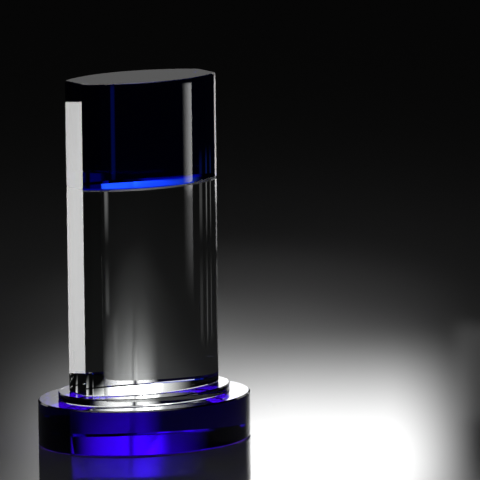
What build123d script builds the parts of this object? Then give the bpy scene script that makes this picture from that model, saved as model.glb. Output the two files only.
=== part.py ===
from build123d import *
import os

os.makedirs("parts", exist_ok=True)

# A free-standing crystal trophy: an oval plinth, a thin oval step plate and a tall column
# in two pieces, a clear body with a coloured cap. Polished blocks are stacked along Z and
# held by thin films of clear adhesive. All sizes are in millimetres. The origin is the
# centre of the underside, X runs along the long axis of every oval, and -Y is the front.

# Plinth
plinth_length = 186.0
plinth_width = 146.0
plinth_height = 38.0
plinth_bevel = 1.2

# Step plate
step_length = 153.0
step_width = 107.0
step_thickness = 6.5
step_bevel = 0.7

# Column: two bowed faces that meet flat, narrow ends
column_length = 128.0
column_depth = 72.0
end_face_width = 28.0
cap_height = 88.0
joint_bevel = 1.2
rim_bevel = 0.6
corner_bevel = 0.5

# Whole trophy, and the adhesive between each pair of blocks
overall_height = 305.0
bond_thickness = 0.15

# Levels, from the table up
step_base = plinth_height + bond_thickness
step_top = step_base + step_thickness
body_base = step_top + bond_thickness
cap_base = overall_height - cap_height
body_top = cap_base - bond_thickness


def column_plan(inset=0.0):
    """Outline of the column seen from above, drawn in by inset all round."""
    x, y_end, y_mid = column_length / 2, end_face_width / 2, column_depth / 2
    with BuildSketch() as plan:
        with BuildLine():
            ThreePointArc((-x, -y_end), (0, -y_mid), (x, -y_end))
            Line((x, -y_end), (x, y_end))
            ThreePointArc((x, y_end), (0, y_mid), (-x, y_end))
            Line((-x, y_end), (-x, -y_end))
        make_face()
        if inset:
            offset(amount=-inset, kind=Kind.INTERSECTION)
    return plan.sketch


# Blue oval slab that the trophy stands on
with BuildPart() as base_plinth:
    with BuildSketch():
        Ellipse(plinth_length / 2, plinth_width / 2)
    extrude(amount=plinth_height)
    flats = base_plinth.faces().filter_by(Axis.Z)
    chamfer(flats.edges(), plinth_bevel)

# Clear oval plate, its long axis along that of the plinth
with BuildPart() as step_plate:
    with BuildSketch(Plane.XY.offset(step_base)):
        Ellipse(step_length / 2, step_width / 2)
    extrude(amount=step_thickness)
    flats = step_plate.faces().filter_by(Axis.Z)
    chamfer(flats.edges(), step_bevel)

# Clear lower block of the column. The bowed edges of its top have the wider bevel, half of
# the groove along the colour joint. The end faces are ground flush across that joint.
with BuildPart() as column_body:
    with BuildSketch(Plane.XY.offset(body_base)):
        add(column_plan())
    extrude(amount=body_top - body_base)
    chamfer(column_body.edges().filter_by(Axis.Z), corner_bevel)
    chamfer(column_body.faces().sort_by(Axis.Z)[0].edges(), rim_bevel)
    top_edges = column_body.faces().sort_by(Axis.Z)[-1].edges()
    chamfer(top_edges.filter_by(GeomType.CIRCLE), joint_bevel)

# Blue upper block of the column, with the same plan and the other half of the groove
with BuildPart() as column_cap:
    with BuildSketch(Plane.XY.offset(cap_base)):
        add(column_plan())
    extrude(amount=cap_height)
    chamfer(column_cap.edges().filter_by(Axis.Z), corner_bevel)
    bottom_edges = column_cap.faces().sort_by(Axis.Z)[0].edges()
    chamfer(bottom_edges.filter_by(GeomType.CIRCLE), joint_bevel)
    chamfer(column_cap.faces().sort_by(Axis.Z)[-1].edges(), rim_bevel)

# Adhesive films, each as large as the smaller flat that it joins
with BuildPart() as plinth_bond:
    with BuildSketch(Plane.XY.offset(plinth_height)):
        Ellipse(step_length / 2 - step_bevel, step_width / 2 - step_bevel)
    extrude(amount=bond_thickness)

with BuildPart() as step_bond:
    with BuildSketch(Plane.XY.offset(step_top)):
        add(column_plan(rim_bevel))
    extrude(amount=bond_thickness)

with BuildPart() as cap_bond:
    extrude(column_body.faces().sort_by(Axis.Z)[-1], amount=bond_thickness)

pieces = {
    "base_plinth": base_plinth,
    "step_plate": step_plate,
    "column_body": column_body,
    "column_cap": column_cap,
    "plinth_bond": plinth_bond,
    "step_bond": step_bond,
    "cap_bond": cap_bond,
}
for name, piece in pieces.items():
    piece.part.label = name
    export_step(piece.part, f"parts/{name}.step")
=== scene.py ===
"""Looks of a crystal column trophy: a clear column with a cobalt cap on a cobalt plinth.

Each block is rebuilt as one closed, finely divided solid with polished bevels, at the size
of its CAD node. Blocks are glass with real absorption inside. A face glued to another block
carries bonded = 1, which lowers the step in refractive index there, as clear adhesive does.
"""

import math
import bmesh
import bpy
from mathutils import Matrix, Vector


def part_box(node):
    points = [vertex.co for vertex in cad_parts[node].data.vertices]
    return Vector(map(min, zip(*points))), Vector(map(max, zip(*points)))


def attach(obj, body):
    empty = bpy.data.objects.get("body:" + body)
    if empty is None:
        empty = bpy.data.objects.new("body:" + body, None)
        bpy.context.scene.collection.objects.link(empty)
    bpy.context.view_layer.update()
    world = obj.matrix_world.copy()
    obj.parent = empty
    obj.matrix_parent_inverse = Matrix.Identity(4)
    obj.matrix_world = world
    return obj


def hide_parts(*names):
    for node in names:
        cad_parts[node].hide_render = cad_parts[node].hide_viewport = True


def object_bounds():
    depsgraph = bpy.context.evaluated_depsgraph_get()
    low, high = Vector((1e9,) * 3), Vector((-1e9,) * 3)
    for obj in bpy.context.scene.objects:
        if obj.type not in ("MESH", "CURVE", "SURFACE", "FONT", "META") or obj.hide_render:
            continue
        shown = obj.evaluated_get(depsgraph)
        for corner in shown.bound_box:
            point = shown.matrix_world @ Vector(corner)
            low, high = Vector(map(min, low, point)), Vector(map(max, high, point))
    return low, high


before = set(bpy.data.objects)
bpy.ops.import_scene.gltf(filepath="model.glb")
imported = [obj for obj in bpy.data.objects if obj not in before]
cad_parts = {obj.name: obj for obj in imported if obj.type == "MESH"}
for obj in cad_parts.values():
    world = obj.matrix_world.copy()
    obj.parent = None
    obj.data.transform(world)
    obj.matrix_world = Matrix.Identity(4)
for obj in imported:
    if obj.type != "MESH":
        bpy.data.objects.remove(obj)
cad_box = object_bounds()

MM = 0.001

# Shape details that the boxes of the CAD nodes don't give, as in the CAD
END_FACE_WIDTH = 28 * MM
PLINTH_BEVEL = 1.2 * MM
STEP_BEVEL = 0.7 * MM
JOINT_BEVEL = 1.2 * MM
RIM_BEVEL = 0.6 * MM
CORNER_BEVEL = 0.5 * MM
FILM_CLEARANCE = 0.02 * MM
AIR_UNDER_PLINTH = 0.1 * MM

# How finely the outlines are divided
BOW_SEGMENTS = 176
END_SEGMENTS = 28
SHARP_ANGLE = math.radians(14)

# Optics
CRYSTAL_IOR = 1.52
ADHESIVE_IOR = 1.50

# Camera, as fitted to the trophy's outlines in the photograph
LENS_MM = 502.9
SENSOR_MM = 36.0
HEADING = math.radians(31.0)
PITCH = math.radians(9.04)
ROLL = math.radians(0.585)
CAMERA_BACK = 5.4988
CAMERA_RIGHT = 0.081
CAMERA_HEIGHT = 1.042

# Studio: distances of the panels from the trophy, and light that comes from everywhere
FAR = 3.2
NEAR = 1.0
AMBIENT = 0.0018
WHITE = (1, 1, 1, 1)


# ---------------------------------------------------------------- outlines


def column_outline(low, high, inset=0.0, end_inset=None):
    """Plan of the column, counter-clockwise: a bow, an end, a bow, an end.

    It is drawn in by inset, or by end_inset at the ends if that is given.
    """
    half_length = (high.x - low.x) / 2
    half_depth = (high.y - low.y) / 2
    half_end = END_FACE_WIDTH / 2
    rise = half_depth - half_end
    radius = (half_length**2 + rise**2) / (2 * rise)
    r = radius - inset
    x_end = half_length - (inset if end_inset is None else end_inset)
    reach = math.asin(x_end / r)
    y_end = r * math.cos(reach) - (radius - half_depth)
    turn = reach - CORNER_BEVEL / r
    front = [
        (r * math.sin(a), radius - half_depth - r * math.cos(a))
        for a in (turn * (2 * i / BOW_SEGMENTS - 1) for i in range(BOW_SEGMENTS + 1))
    ]
    y_flat = y_end - CORNER_BEVEL
    right = [
        (x_end, y_flat * (2 * i / END_SEGMENTS - 1)) for i in range(END_SEGMENTS + 1)
    ]
    half = front + right
    return half + [(-x, -y) for x, y in half]


def oval_outline(low, high, angles, inset=0.0):
    """Ellipse that fills the box, drawn in by inset, with one point at each polar angle."""
    a = (high.x - low.x) / 2
    b = (high.y - low.y) / 2
    points = []
    for angle in angles:
        r = a * b / math.hypot(b * math.cos(angle), a * math.sin(angle))
        x, y = r * math.cos(angle), r * math.sin(angle)
        nx, ny = x / a**2, y / b**2
        n = math.hypot(nx, ny)
        points.append((x - inset * nx / n, y - inset * ny / n))
    return points


# ---------------------------------------------------------------- pieces


def new_object(name, data):
    made = bpy.data.objects.new(name, data)
    bpy.context.scene.collection.objects.link(made)
    return made


def block(name, rings, glued_below=False, glued_above=False):
    """Closed solid through rings of (outline, z), from its underside to its top."""
    bm = bmesh.new()
    glued = bm.faces.layers.float.new("bonded")
    loops = [[bm.verts.new((x, y, z)) for x, y in outline] for outline, z in rings]
    for lower, upper in zip(loops, loops[1:]):
        for i in range(len(lower)):
            j = (i + 1) % len(lower)
            bm.faces.new((lower[i], lower[j], upper[j], upper[i]))
    underside = bm.faces.new(list(reversed(loops[0])))
    top = bm.faces.new(loops[-1])
    underside[glued] = float(glued_below)
    top[glued] = float(glued_above)
    mesh = bpy.data.meshes.new(name)
    bm.to_mesh(mesh)
    bm.free()
    mesh.shade_smooth()
    mesh.set_sharp_from_angle(angle=SHARP_ANGLE)
    return new_object(name, mesh)


def finish_piece(piece, node, material):
    piece.data.materials.append(material)
    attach(piece, "root")
    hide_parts(node)


# ---------------------------------------------------------------- materials


def new_material(name):
    material = bpy.data.materials.new(name)
    material.use_nodes = True
    tree = material.node_tree
    tree.nodes.clear()
    return material, tree.nodes, tree.links


def noise(nodes, links, coordinates, scale, detail, roughness=0.5, distortion=0.0):
    node = nodes.new("ShaderNodeTexNoise")
    node.inputs["Scale"].default_value = scale
    node.inputs["Detail"].default_value = detail
    node.inputs["Roughness"].default_value = roughness
    node.inputs["Distortion"].default_value = distortion
    links.new(coordinates, node.inputs["Vector"])
    return node.outputs["Fac"]


def map_range(nodes, links, value, low, high, to_low, to_high, curve="LINEAR"):
    node = nodes.new("ShaderNodeMapRange")
    node.interpolation_type = curve
    node.inputs["From Min"].default_value = low
    node.inputs["From Max"].default_value = high
    node.inputs["To Min"].default_value = to_low
    node.inputs["To Max"].default_value = to_high
    links.new(value, node.inputs["Value"])
    return node.outputs["Result"]


def multiply(nodes, links, first, second):
    node = nodes.new("ShaderNodeMath")
    node.operation = "MULTIPLY"
    links.new(first, node.inputs[0])
    links.new(second, node.inputs[1])
    return node.outputs["Value"]


def crystal(name, tint, absorption):
    """Polished solid glass. absorption is per metre for red, green and blue."""
    material, nodes, links = new_material(name)
    output = nodes.new("ShaderNodeOutputMaterial")
    shader = nodes.new("ShaderNodeBsdfPrincipled")
    shader.inputs["Transmission Weight"].default_value = 1.0
    links.new(shader.outputs["BSDF"], output.inputs["Surface"])

    place = nodes.new("ShaderNodeTexCoord").outputs["Object"]

    # Faint unevenness of colour, as in cast glass
    cast = noise(nodes, links, place, scale=22, detail=2)
    colour = nodes.new("ShaderNodeMix")
    colour.data_type = "RGBA"
    colour.inputs["A"].default_value = (*(c * 0.985 for c in tint), 1)
    colour.inputs["B"].default_value = (*tint, 1)
    links.new(cast, colour.inputs["Factor"])
    links.new(colour.outputs["Result"], shader.inputs["Base Color"])

    # Polish: nearly perfect, a little duller where the wheel's last passes overlap
    polish = noise(nodes, links, place, scale=60, detail=6, roughness=0.7, distortion=0.6)
    links.new(
        map_range(nodes, links, polish, 0.45, 0.8, 0.0, 0.02), shader.inputs["Roughness"]
    )
    bump = nodes.new("ShaderNodeBump")
    bump.inputs["Strength"].default_value = 1.0
    bump.inputs["Distance"].default_value = 0.004 * MM
    links.new(noise(nodes, links, place, scale=45, detail=3), bump.inputs["Height"])
    links.new(bump.outputs["Normal"], shader.inputs["Normal"])

    # Glass against air, or against adhesive where a face is glued
    bonded = nodes.new("ShaderNodeAttribute")
    bonded.attribute_name = "bonded"
    links.new(
        map_range(
            nodes, links, bonded.outputs["Fac"], 0, 1, CRYSTAL_IOR, CRYSTAL_IOR / ADHESIVE_IOR
        ),
        shader.inputs["IOR"],
    )

    density = max(absorption)
    inside = nodes.new("ShaderNodeVolumeAbsorption")
    inside.inputs["Color"].default_value = (*(1 - a / density for a in absorption), 1)
    inside.inputs["Density"].default_value = density
    links.new(inside.outputs["Volume"], output.inputs["Volume"])
    return material


def adhesive(name):
    """Cured film of clear adhesive, with faint flow marks."""
    material, nodes, links = new_material(name)
    output = nodes.new("ShaderNodeOutputMaterial")
    shader = nodes.new("ShaderNodeBsdfPrincipled")
    shader.inputs["Transmission Weight"].default_value = 1.0
    shader.inputs["IOR"].default_value = ADHESIVE_IOR
    links.new(shader.outputs["BSDF"], output.inputs["Surface"])
    place = nodes.new("ShaderNodeTexCoord").outputs["Object"]
    flow = noise(nodes, links, place, scale=120, detail=4)
    tone = nodes.new("ShaderNodeMix")
    tone.data_type = "RGBA"
    tone.inputs["A"].default_value = (0.97, 0.965, 0.94, 1)
    tone.inputs["B"].default_value = WHITE
    links.new(flow, tone.inputs["Factor"])
    links.new(tone.outputs["Result"], shader.inputs["Base Color"])
    links.new(map_range(nodes, links, flow, 0.3, 0.7, 0.05, 0.16), shader.inputs["Roughness"])
    bump = nodes.new("ShaderNodeBump")
    bump.inputs["Strength"].default_value = 0.5
    bump.inputs["Distance"].default_value = 0.02 * MM
    links.new(flow, bump.inputs["Height"])
    links.new(bump.outputs["Normal"], shader.inputs["Normal"])
    return material


def pale_floor_material():
    material, nodes, links = new_material("pale_floor")
    output = nodes.new("ShaderNodeOutputMaterial")
    shader = nodes.new("ShaderNodeBsdfPrincipled")
    shader.inputs["Base Color"].default_value = (0.8, 0.8, 0.8, 1)
    shader.inputs["Roughness"].default_value = 0.06
    shader.inputs["IOR"].default_value = 1.5
    links.new(shader.outputs["BSDF"], output.inputs["Surface"])
    return material


def glow_material(name, radiance, fades):
    """Light of a softbox, fading to nothing towards its edges. It doesn't hide what is behind it.

    fades gives the shares of the width and height over which it fades: left, right, bottom, top.
    """
    material, nodes, links = new_material(name)
    output = nodes.new("ShaderNodeOutputMaterial")
    light = nodes.new("ShaderNodeEmission")
    light.inputs["Color"].default_value = WHITE
    axes = nodes.new("ShaderNodeSeparateXYZ")
    links.new(nodes.new("ShaderNodeTexCoord").outputs["Generated"], axes.inputs["Vector"])
    across, up = axes.outputs["X"], axes.outputs["Y"]
    left, right, bottom, top = fades

    strength = map_range(nodes, links, across, 0, left, 0, radiance, "SMOOTHSTEP")
    for axis, edge, full in ((across, 1, 1 - right), (up, 0, bottom), (up, 1, 1 - top)):
        fade = map_range(nodes, links, axis, edge, full, 0, 1, "SMOOTHSTEP")
        strength = multiply(nodes, links, strength, fade)
    links.new(strength, light.inputs["Strength"])

    both = nodes.new("ShaderNodeAddShader")
    links.new(light.outputs["Emission"], both.inputs[0])
    links.new(nodes.new("ShaderNodeBsdfTransparent").outputs["BSDF"], both.inputs[1])
    links.new(both.outputs["Shader"], output.inputs["Surface"])
    return material


def horizon_material():
    """Even white light that fades in over the lower part of the ring."""
    material, nodes, links = new_material("horizon")
    output = nodes.new("ShaderNodeOutputMaterial")
    light = nodes.new("ShaderNodeEmission")
    light.inputs["Color"].default_value = WHITE
    axes = nodes.new("ShaderNodeSeparateXYZ")
    links.new(nodes.new("ShaderNodeTexCoord").outputs["Generated"], axes.inputs["Vector"])
    links.new(map_range(nodes, links, axes.outputs["Z"], 0, 0.4, 0, 1), light.inputs["Strength"])
    links.new(light.outputs["Emission"], output.inputs["Surface"])
    return material


# ---------------------------------------------------------------- studio


def bearing(right, distance, height):
    """Point seen from the trophy at an angle to the right of the camera's line of sight."""
    a = HEADING + math.radians(right)
    return Vector((math.sin(a) * distance, math.cos(a) * distance, height))


def rectangle(name, width, height, material):
    """Level rectangle about its own origin."""
    x, y = width / 2, height / 2
    mesh = bpy.data.meshes.new(name)
    mesh.from_pydata([(-x, -y, 0), (x, -y, 0), (x, y, 0), (-x, y, 0)], [], [(0, 1, 2, 3)])
    mesh.materials.append(material)
    return new_object(name, mesh)


def stage_panel(panel):
    """Keep a light panel out of the picture: it shows only in the crystal and the floor."""
    panel.visible_camera = False
    panel.visible_diffuse = False
    panel.visible_shadow = False


def softbox(
    name, right, distance, bottom, top, width, radiance, fades, through=True, mirrored=True
):
    """Upright light panel that faces the trophy.

    It shows through the crystal if through is set, and in reflections if mirrored is set.
    """
    panel = rectangle(name, width, top - bottom, glow_material(name, radiance, fades))
    panel.location = bearing(right, distance, (bottom + top) / 2)
    inward = -bearing(right, distance, 0)
    panel.rotation_euler = inward.to_track_quat("Z", "Y").to_euler()
    panel.visible_transmission = through
    panel.visible_glossy = mirrored
    stage_panel(panel)


def horizon_box():
    """Ring of soft light above the camera's reach, which lights the crystal from every side."""
    radius, bottom, top, sides = 3.4, 0.80, 1.9, 96
    turns = [2 * math.pi * i / sides for i in range(sides)]
    circle = [(radius * math.cos(turn), radius * math.sin(turn)) for turn in turns]
    mesh = bpy.data.meshes.new("horizon")
    mesh.from_pydata(
        [(x, y, z) for z in (bottom, top) for x, y in circle],
        [],
        [(i, (i + 1) % sides, sides + (i + 1) % sides, sides + i) for i in range(sides)],
    )
    mesh.materials.append(horizon_material())
    stage_panel(new_object("horizon", mesh))


def sky_box():
    """Level panel far above the trophy, for its upper faces."""
    size, height, radiance, fade = 3.0, 2.6, 1.5, 0.3
    panel = rectangle("sky_box", size, size, glow_material("sky_box", radiance, [fade] * 4))
    panel.location.z = height
    stage_panel(panel)


def make_floor():
    size = 30.0
    floor = rectangle("floor", size, size, pale_floor_material())
    floor.location.z = cad_box[0].z - AIR_UNDER_PLINTH


def floor_lamp(name, reach, cone, flatness, power, across=CAMERA_RIGHT):
    """Snooted lamp behind the trophy that lights a pool of the floor and nothing in the crystal.

    The pool lies at the distance reach behind the trophy, and across to its right.
    """
    right, distance, height = 2.2, 2.2, 0.43
    data = bpy.data.lights.new(name, "SPOT")
    data.energy = power
    data.spot_size = math.radians(cone)
    data.spot_blend = 1.0
    data.shadow_soft_size = 0.05
    lamp = new_object(name, data)
    lamp.location = bearing(right, distance, height)
    aim = bearing(90, across, 0) + bearing(0, reach, 0) - lamp.location
    lamp.rotation_euler = aim.to_track_quat("-Z", "Y").to_euler()
    lamp.scale = (1, flatness, 1)
    lamp.visible_camera = False
    lamp.visible_glossy = False
    lamp.visible_transmission = False


def left_strip():
    """Softbox with a honeycomb grid, which the column's left end face mirrors to the camera.

    That makes the face an even pale strip. The grid keeps the light close to the lamp's axis.
    """
    middle, distance, width, height, radiance, spread = 0.176, 0.30, 0.05, 0.236, 6.0, 12
    data = bpy.data.lights.new("left_strip", "AREA")
    data.shape = "RECTANGLE"
    data.size, data.size_y = width, height
    data.spread = math.radians(spread)
    half = data.spread / 2
    narrowing = math.tan(half) / (math.tan(half) - half)
    data.energy = 4 * radiance * width * height / narrowing
    lamp = new_object("left_strip", data)
    mirrored_view = Vector((-math.sin(HEADING), math.cos(HEADING), -math.tan(PITCH))).normalized()
    lamp.location = Vector((body_low.x, 0, middle)) + distance * mirrored_view
    lamp.rotation_euler = (-mirrored_view).to_track_quat("-Z", "Y").to_euler()
    lamp.visible_camera = False
    lamp.visible_diffuse = False
    lamp.visible_transmission = False


def overhead_box():
    """Large weak softbox above and behind the trophy, mirrored in its level faces."""
    data = bpy.data.lights.new("overhead", "AREA")
    data.shape = "RECTANGLE"
    data.size = data.size_y = 1.0
    data.energy = 0.19
    lamp = new_object("overhead", data)
    lamp.location = bearing(0, 0.4, 0.9)
    lamp.visible_camera = False


def light_background():
    """Pale pool round the trophy's foot: mostly an upright panel that the floor mirrors."""
    floor_lamp("pool_lamp", reach=0.30, cone=12, flatness=0.55, power=66)
    floor_lamp("wash_lamp", reach=0.62, cone=18, flatness=0.5, power=12)
    floor_lamp("fill_lamp", reach=0.40, cone=2.8, flatness=1.0, power=90, across=0.035)
    softbox(
        "back_box", right=1.0, distance=FAR, bottom=0.46, top=0.71, width=0.692,
        radiance=4.0, fades=(0.665, 0.197, 0.76, 0.15),
    )
    softbox(
        "back_haze", right=1.5, distance=FAR, bottom=0.64, top=0.86, width=1.4,
        radiance=0.20, fades=(0.3, 0.3, 0.2, 0.3),
    )


def light_key():
    """Wide panels whose light the column and the plinth bend into view.

    The two that the floor mirrors begin just outside the part of them that would be in view.
    """
    softbox(
        "key_box", right=25.5, distance=FAR, bottom=0.55, top=0.67, width=2.16,
        radiance=1.9, fades=(0.05, 0.90, 0.50, 0.06),
    )
    softbox(
        "key_foot", right=23.5, distance=FAR, bottom=0.46, top=0.67, width=1.89,
        radiance=1.65, fades=(0.08, 0.92, 0.81, 0.06),
    )
    softbox(
        "key_side", right=-5, distance=FAR, bottom=0.55, top=0.70, width=2.2,
        radiance=1.6, fades=(0.78, 0.20, 0.45, 0.1), mirrored=False,
    )


def light_colour_joint():
    """Low bright panels that the joint under the cap reflects, as the blue band above it."""
    softbox(
        "lens_box", right=24, distance=FAR, bottom=0.66, top=0.735, width=4.0,
        radiance=4.5, fades=(0.144, 0.36, 0.2, 0.3), mirrored=False,
    )
    softbox(
        "lens_left", right=-12, distance=0.8, bottom=0.330, top=0.352, width=0.54,
        radiance=3.0, fades=(0.92, 0.06, 0.2, 0.2), mirrored=False,
    )


def light_sides():
    """Panels seen by reflection inside the column's foot, and two faint upright bars."""
    softbox(
        "side_box", right=68, distance=NEAR, bottom=0.225, top=0.355, width=0.9,
        radiance=1.5, fades=(0.2, 0.2, 0.2, 0.1),
    )
    softbox(
        "side_top", right=68, distance=NEAR, bottom=0.35, top=0.39, width=0.9,
        radiance=0.25, fades=(0.2, 0.2, 0.1, 0.1),
    )
    softbox(
        "side_strip", right=27.5, distance=NEAR, bottom=0.0, top=0.065, width=0.15,
        radiance=0.14, fades=(0.4, 0.4, 0.9, 0.05),
    )
    softbox(
        "cap_strip", right=18.5, distance=NEAR, bottom=0.06, top=0.17, width=0.08,
        radiance=0.08, fades=(0.3, 0.3, 0.2, 0.1),
    )


def light_edges():
    """Narrow panels for the fine lines along the column's right edge."""
    striations = ((-30, 0.06, 0.05), (-36, 0.03, 0.15), (-42, 0.03, 0.12))
    for number, (right, width, radiance) in enumerate(striations):
        softbox(
            f"edge_strip_{number}", right=right, distance=NEAR, bottom=0.0, top=0.10,
            width=width, radiance=radiance, fades=(0.3, 0.3, 0.5, 0.2),
        )
    softbox(
        "rim_box", right=47.6, distance=0.5, bottom=0.12, top=0.25, width=0.05,
        radiance=3.2, fades=(0.3, 0.3, 0.2, 0.1), through=False,
    )
    softbox(
        "rim_foot", right=45, distance=NEAR, bottom=0.0, top=0.12, width=0.10,
        radiance=1.2, fades=(0.3, 0.3, 0.1, 0.3), through=False,
    )


def light_right_strip():
    """Close panels that the front bowed face mirrors as a grey strip near its right edge."""
    softbox(
        "right_box", right=93.3, distance=0.35, bottom=0.155, top=0.26, width=0.08,
        radiance=4.2, fades=(0.06, 0.90, 0.1, 0.02), through=False,
    )
    softbox(
        "right_foot", right=93.3, distance=0.35, bottom=0.06, top=0.165, width=0.08,
        radiance=1.2, fades=(0.06, 0.90, 0.9, 0.1), through=False,
    )


def light_seam():
    """Narrow panel that fills the seam between the background and the key panels."""
    softbox(
        "gap_box", right=5.1, distance=0.55, bottom=0.0, top=0.09, width=0.024,
        radiance=1.9, fades=(0.3, 0.3, 0.9, 0.05), through=False,
    )


def make_world():
    world = bpy.data.worlds.new("studio")
    bpy.context.scene.world = world
    world.use_nodes = True
    nodes = world.node_tree.nodes
    nodes["Background"].inputs["Color"].default_value = WHITE
    nodes["Background"].inputs["Strength"].default_value = AMBIENT


def make_camera():
    data = bpy.data.cameras.new("camera")
    data.lens = LENS_MM
    data.sensor_width = SENSOR_MM
    data.clip_end = 60
    camera = new_object("camera", data)
    forward = Vector((math.sin(HEADING), math.cos(HEADING), 0))
    right = Vector((math.cos(HEADING), -math.sin(HEADING), 0))
    place = -CAMERA_BACK * forward + CAMERA_RIGHT * right
    place.z = CAMERA_HEIGHT
    camera.matrix_world = (
        Matrix.Translation(place)
        @ Matrix.Rotation(-HEADING, 4, "Z")
        @ Matrix.Rotation(math.pi / 2 - PITCH, 4, "X")
        @ Matrix.Rotation(-ROLL, 4, "Z")
    )
    bpy.context.scene.camera = camera


# ---------------------------------------------------------------- build

make_camera()
make_world()
make_floor()

cobalt_cap = crystal("cobalt_cap", tint=(0.30, 0.36, 0.86), absorption=(60, 36, 7))
cobalt_plinth = crystal("cobalt_plinth", tint=(0.30, 0.30, 0.86), absorption=(22, 60, 7))
clear = crystal("clear_crystal", tint=(1.0, 1.0, 1.0), absorption=(0.5, 0.25, 0.4))
film = adhesive("clear_adhesive")

plinth_low, plinth_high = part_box("base_plinth")
step_low, step_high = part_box("step_plate")
body_low, body_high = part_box("column_body")
cap_low, cap_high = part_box("column_cap")

column_foot = column_outline(body_low, body_high, RIM_BEVEL)
joint_flat = column_outline(body_low, body_high, JOINT_BEVEL, end_inset=0)

# The ovals have a point for each point of the column's foot, so that rings of both kinds join
angles = [math.atan2(y, x) for x, y in column_foot]
step_flat = oval_outline(step_low, step_high, angles, STEP_BEVEL)


def build_plinth():
    inner = oval_outline(plinth_low, plinth_high, angles, PLINTH_BEVEL)
    outer = oval_outline(plinth_low, plinth_high, angles)
    rings = [
        (inner, plinth_low.z),
        (outer, plinth_low.z + PLINTH_BEVEL),
        (outer, plinth_high.z - PLINTH_BEVEL),
        (inner, plinth_high.z),
        (step_flat, plinth_high.z),
    ]
    piece = block("cobalt_plinth", rings, glued_above=True)
    finish_piece(piece, "base_plinth", cobalt_plinth)


def build_step():
    outer = oval_outline(step_low, step_high, angles)
    rings = [
        (step_flat, step_low.z),
        (outer, step_low.z + STEP_BEVEL),
        (outer, step_high.z - STEP_BEVEL),
        (step_flat, step_high.z),
        (column_foot, step_high.z),
    ]
    piece = block("clear_step", rings, glued_below=True, glued_above=True)
    finish_piece(piece, "step_plate", clear)


def build_body():
    full = column_outline(body_low, body_high)
    rings = [
        (column_foot, body_low.z),
        (full, body_low.z + RIM_BEVEL),
        (full, body_high.z - JOINT_BEVEL),
        (joint_flat, body_high.z),
    ]
    piece = block("clear_column", rings, glued_below=True, glued_above=True)
    finish_piece(piece, "column_body", clear)


def build_cap():
    full = column_outline(cap_low, cap_high)
    rings = [
        (joint_flat, cap_low.z),
        (full, cap_low.z + JOINT_BEVEL),
        (full, cap_high.z - RIM_BEVEL),
        (column_outline(cap_low, cap_high, RIM_BEVEL), cap_high.z),
    ]
    piece = block("cobalt_cap", rings, glued_below=True)
    finish_piece(piece, "column_cap", cobalt_cap)


def build_film(name, node, outline):
    """Adhesive film, hidden from rays inside the crystal: the glued faces stand for it there."""
    low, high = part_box(node)
    rings = [(outline, low.z + FILM_CLEARANCE), (outline, high.z - FILM_CLEARANCE)]
    piece = block(name, rings)
    finish_piece(piece, node, film)
    piece.visible_glossy = False
    piece.visible_transmission = False


build_plinth()
build_step()
build_body()
build_cap()
build_film("plinth_film", "plinth_bond", step_flat)
build_film("step_film", "step_bond", column_foot)
build_film("cap_film", "cap_bond", joint_flat)

light_background()
light_key()
light_colour_joint()
light_sides()
light_edges()
light_right_strip()
horizon_box()
sky_box()
light_seam()
left_strip()
overhead_box()

bpy.context.scene.view_settings.view_transform = "Standard"
